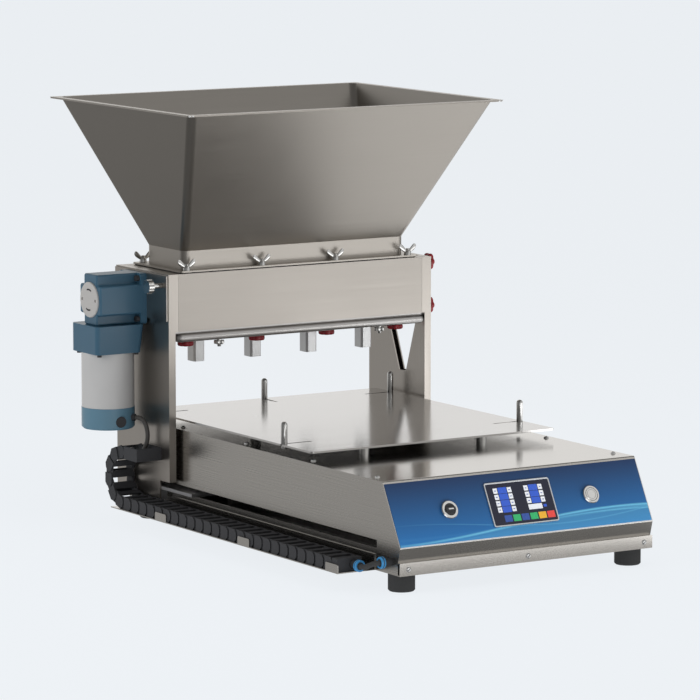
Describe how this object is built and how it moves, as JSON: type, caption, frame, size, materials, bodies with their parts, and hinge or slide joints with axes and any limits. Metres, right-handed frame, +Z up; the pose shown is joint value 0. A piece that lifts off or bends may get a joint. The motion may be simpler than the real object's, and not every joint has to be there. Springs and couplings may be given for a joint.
{
  "type": "piston batter depositor",
  "caption": "Desktop batter depositor: a hopper and piston head on a gantry that travels over a tray plate, with a touch-screen base.",
  "frame": {"origin": "on the floor, under the middle of the whole machine's outline", "axes": "+X to the right seen from the control panel, +Y from the control panel to the rear, +Z up"},
  "size_m": [0.6256, 0.94, 0.664],
  "materials": {
    "base_steel": "satin",
    "plate_steel": "satin",
    "cover_steel": "brushed",
    "hopper_steel": "satin",
    "machined_steel": "machined",
    "screw_steel": "bright",
    "carriage_aluminium": "milled",
    "motor_paint": "semi-gloss",
    "motor_silver": "turned",
    "stepper_paint": "matt",
    "red_knob": "semi-gloss",
    "black_plastic": "matt",
    "black_rubber": "matt",
    "panel_film": "satin",
    "screen_frame": "satin",
    "screen_glass": "gloss",
    "control_metal": "polished",
    "hose_sheath": "satin",
    "bearing_bronze": "machined"
  },
  "bodies": {
    "base": {"base_shell": "base_steel", "base_pan": "base_steel", "panel_overlay": "panel_film", "rubber_feet": "black_rubber", "base_screws": "screw_steel", "touch_screen": "screen_frame", "screen_glass": "screen_glass", "control_bezels": "control_metal", "tray_plate": "plate_steel", "tray_posts": "machined_steel", "guide_rails": "machined_steel", "travel_belt": "black_rubber", "pulley_brackets": "carriage_aluminium", "travel_stepper": "stepper_paint", "chain_tray": "base_steel", "cable_chain": "black_plastic", "hose_fittings": "black_plastic", "front_hose": "hose_sheath"},
    "gantry": {"carriage": "carriage_aluminium", "bearing_blocks": "machined_steel", "side_frames": "cover_steel", "head_covers": "cover_steel", "head_top_plate": "cover_steel", "valve_body": "machined_steel", "shaft_bearings": "bearing_bronze", "nozzle_plate": "machined_steel", "nozzles": "machined_steel", "hand_nuts": "screw_steel", "hopper": "hopper_steel", "hopper_gasket": "black_rubber", "motor_plate": "cover_steel", "gearhead": "motor_paint", "motor_screws": "black_plastic", "output_cap": "motor_silver", "motor_can": "motor_silver", "motor_endcap": "motor_paint", "motor_plugs": "black_plastic", "motor_lead": "hose_sheath", "chain_end_bracket": "cover_steel"},
    "piston_set": {"pistons": "machined_steel", "piston_seals": "black_rubber", "crosshead": "machined_steel"},
    "pin_front_left": {"pin_front_left": "screw_steel"},
    "pin_front_right": {"pin_front_right": "screw_steel"},
    "pin_rear_left": {"pin_rear_left": "screw_steel"},
    "pin_rear_right": {"pin_rear_right": "screw_steel"},
    "pin_rear_centre": {"pin_rear_centre": "screw_steel"},
    "selector_knob": {"selector_knob": "black_plastic"},
    "start_button": {"start_button": "control_metal"},
    "drive_pulley": {"drive_pulley": "carriage_aluminium"},
    "idler_pulley": {"idler_pulley": "carriage_aluminium"},
    "drive_shaft": {"drive_shaft": "machined_steel"},
    "valve_rotor": {"valve_rotor": "machined_steel"},
    "plate_knob_left_outer": {"plate_knob_left_outer": "red_knob"},
    "plate_knob_left_inner": {"plate_knob_left_inner": "red_knob"},
    "plate_knob_right_inner": {"plate_knob_right_inner": "red_knob"},
    "plate_knob_right_outer": {"plate_knob_right_outer": "red_knob"},
    "side_knob_upper": {"side_knob_upper": "red_knob"},
    "side_knob_lower": {"side_knob_lower": "red_knob"},
    "left_clamp_screw": {"left_clamp_screw": "screw_steel"}
  },
  "joints": [
    {"name": "gantry_travel", "type": "slide", "parent": "base", "child": "gantry", "axis": [0, -1, 0], "range_m": [0, 0.44]},
    {"name": "piston_stroke", "type": "slide", "parent": "gantry", "child": "piston_set", "axis": [0, 1, 0], "range_m": [0, 0.025]},
    {"name": "drive_shaft_turn", "type": "hinge", "parent": "gantry", "child": "drive_shaft", "pos_m": [0.02425, 0.267, 0.361], "axis": [1, 0, 0], "range_deg": [-120, 0]},
    {"name": "valve_turn", "type": "hinge", "parent": "gantry", "child": "valve_rotor", "pos_m": [0.02425, 0.237, 0.335], "axis": [1, 0, 0], "range_deg": [0, 90]},
    {"name": "drive_pulley_turn", "type": "hinge", "parent": "base", "child": "drive_pulley", "pos_m": [0.02425, -0.365, 0.091], "axis": [1, 0, 0], "range_deg": [-1460, 0]},
    {"name": "idler_pulley_turn", "type": "hinge", "parent": "base", "child": "idler_pulley", "pos_m": [0.02425, 0.304, 0.091], "axis": [1, 0, 0], "range_deg": [-1460, 0]},
    {"name": "selector_turn", "type": "hinge", "parent": "base", "child": "selector_knob", "pos_m": [-0.10175, -0.44551, 0.11237], "axis": [0, -0.8838, 0.4678], "range_deg": [-90, 0]},
    {"name": "start_press", "type": "slide", "parent": "base", "child": "start_button", "axis": [0, 0.8838, -0.4678], "range_m": [0, 0.002], "stiffness_N_per_m": 600, "springref_m": -0.001},
    {"name": "pin_front_left_slide", "type": "slide", "parent": "base", "child": "pin_front_left", "axis": [1, 0, 0], "range_m": [0, 0.046]},
    {"name": "pin_front_right_slide", "type": "slide", "parent": "base", "child": "pin_front_right", "axis": [-1, 0, 0], "range_m": [0, 0.046]},
    {"name": "pin_rear_left_slide", "type": "slide", "parent": "base", "child": "pin_rear_left", "axis": [1, 0, 0], "range_m": [0, 0.046]},
    {"name": "pin_rear_right_slide", "type": "slide", "parent": "base", "child": "pin_rear_right", "axis": [-1, 0, 0], "range_m": [0, 0.046]},
    {"name": "pin_rear_centre_slide", "type": "slide", "parent": "base", "child": "pin_rear_centre", "axis": [0, -1, 0], "range_m": [0, 0.036]},
    {"name": "plate_knob_left_outer_turn", "type": "hinge", "parent": "gantry", "child": "plate_knob_left_outer", "pos_m": [-0.17075, 0.202, 0.297], "axis": [0, 0, 1], "range_deg": [0, 180]},
    {"name": "plate_knob_left_inner_turn", "type": "hinge", "parent": "gantry", "child": "plate_knob_left_inner", "pos_m": [-0.04075, 0.202, 0.297], "axis": [0, 0, 1], "range_deg": [0, 180]},
    {"name": "plate_knob_right_inner_turn", "type": "hinge", "parent": "gantry", "child": "plate_knob_right_inner", "pos_m": [0.08925, 0.202, 0.297], "axis": [0, 0, 1], "range_deg": [0, 180]},
    {"name": "plate_knob_right_outer_turn", "type": "hinge", "parent": "gantry", "child": "plate_knob_right_outer", "pos_m": [0.21925, 0.202, 0.297], "axis": [0, 0, 1], "range_deg": [0, 180]},
    {"name": "side_knob_upper_turn", "type": "hinge", "parent": "gantry", "child": "side_knob_upper", "pos_m": [0.26775, 0.187, 0.394], "axis": [1, 0, 0], "range_deg": [0, 180]},
    {"name": "side_knob_lower_turn", "type": "hinge", "parent": "gantry", "child": "side_knob_lower", "pos_m": [0.26775, 0.187, 0.3235], "axis": [1, 0, 0], "range_deg": [0, 180]},
    {"name": "left_clamp_screw_turn", "type": "hinge", "parent": "gantry", "child": "left_clamp_screw", "pos_m": [-0.22225, 0.187, 0.386], "axis": [1, 0, 0], "range_deg": [0, 180]}
  ],
  "couplings": [
    {"joint": "drive_shaft_turn", "follows": "piston_stroke", "rad_per_m": -83.333},
    {"joint": "drive_pulley_turn", "follows": "gantry_travel", "rad_per_m": -57.803},
    {"joint": "idler_pulley_turn", "follows": "gantry_travel", "rad_per_m": -57.803}
  ]
}
